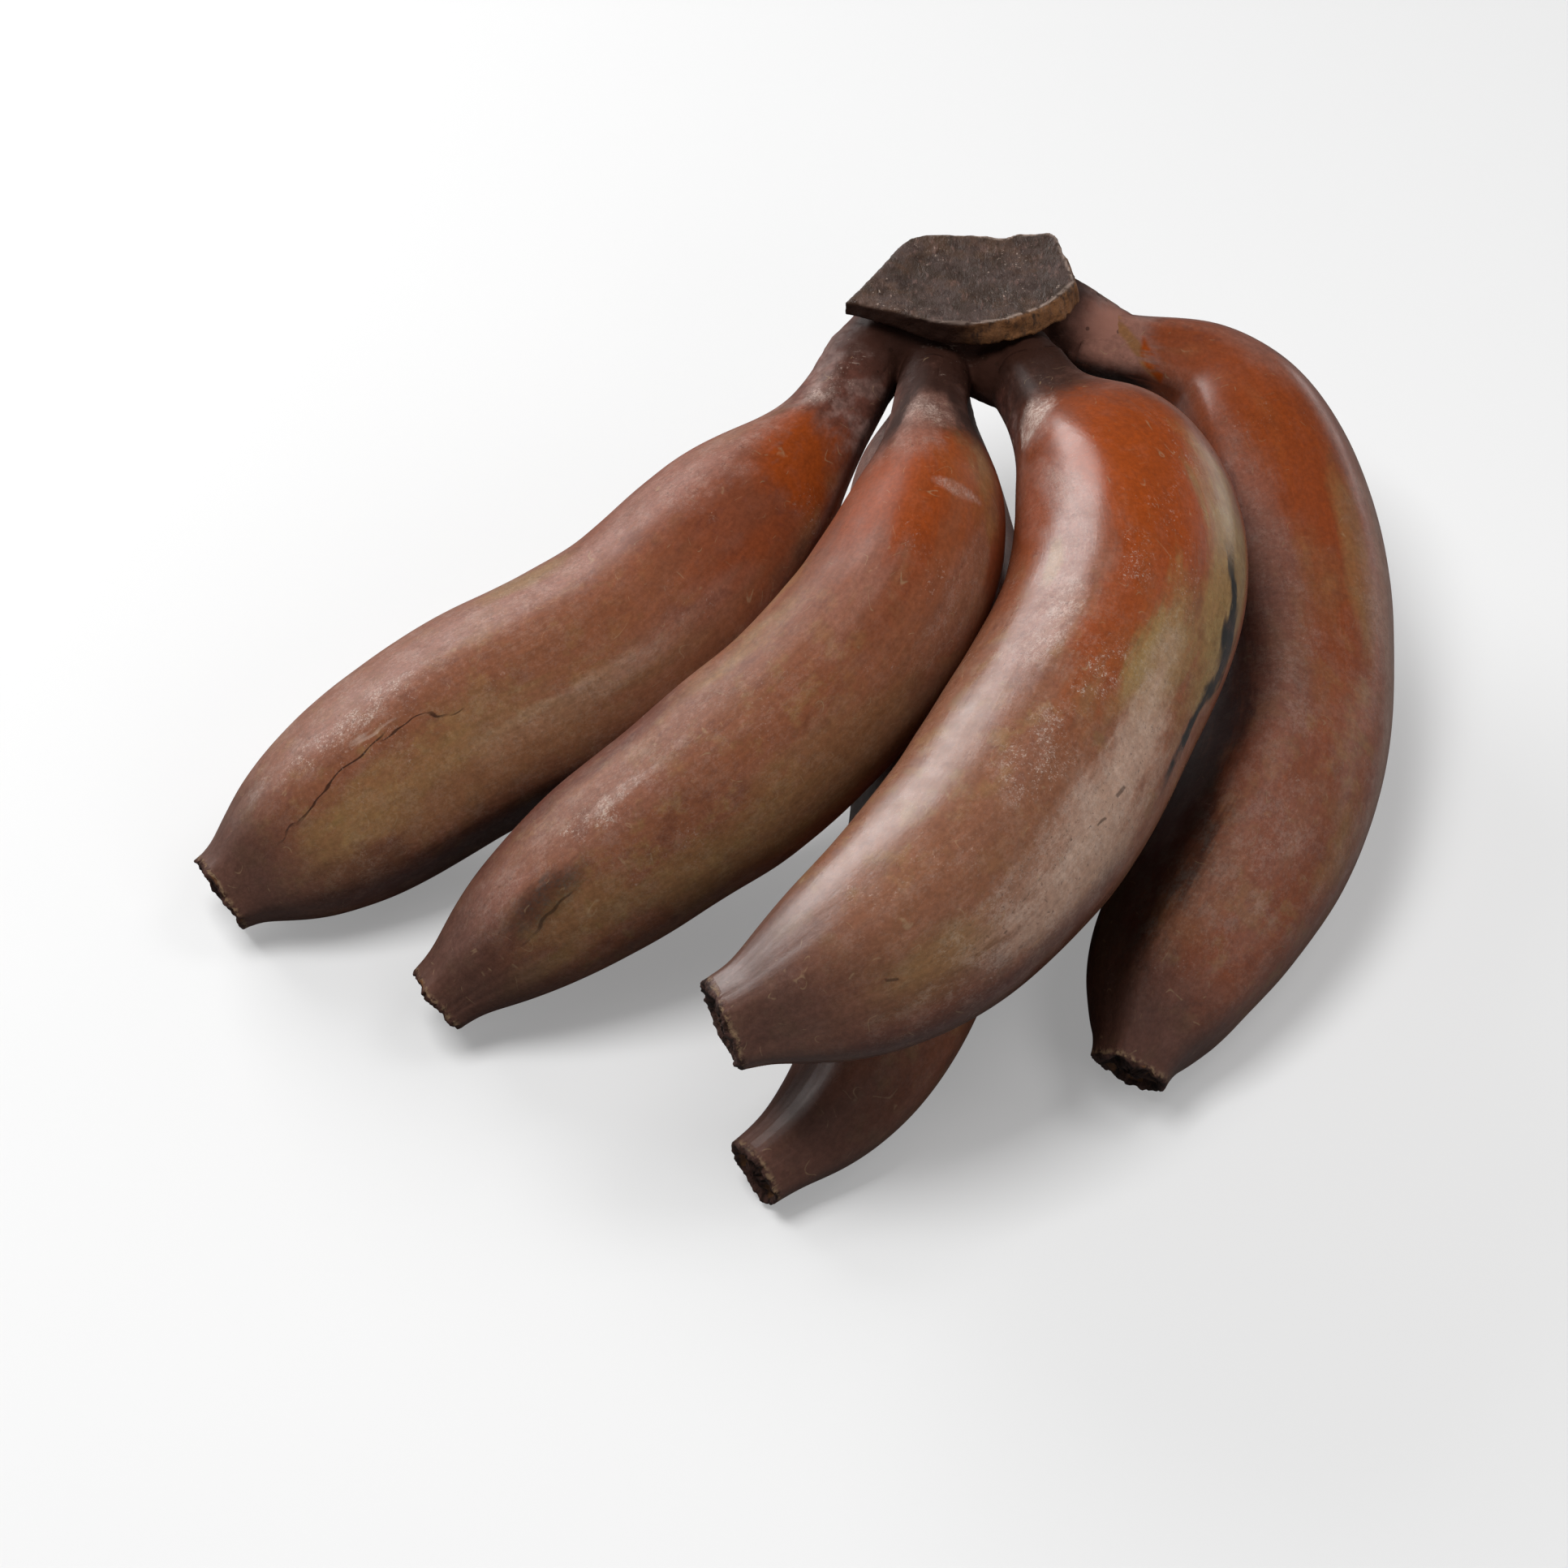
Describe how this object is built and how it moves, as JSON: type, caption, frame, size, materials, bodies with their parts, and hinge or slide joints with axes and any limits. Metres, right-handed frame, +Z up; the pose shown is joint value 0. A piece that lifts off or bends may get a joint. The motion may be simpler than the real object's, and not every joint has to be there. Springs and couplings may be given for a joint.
{
  "type": "hand of red bananas",
  "caption": "Hand of curved red bananas joined at one dark cut crown, resting crown up with the fingers spread and their blossom ends on the table.",
  "frame": {"origin": "centre of the bounding box's base, on the surface that the hand lies on", "axes": "+Z up; +X across the spread of the fingers, from the left finger to the right one; +Y from the blossom ends back to the crown"},
  "size_m": [0.2216, 0.1835, 0.0767],
  "materials": {
    "banana_skin": "satin, mottled deep red-brown peel",
    "crown_bark": "dry, rough, dark cut stem"
  },
  "bodies": {
    "root": {"crown": "crown_bark", "finger_left": "banana_skin", "finger_centre_left": "banana_skin", "finger_centre_right": "banana_skin", "finger_right": "banana_skin", "finger_under": "banana_skin"}
  },
  "joints": []
}
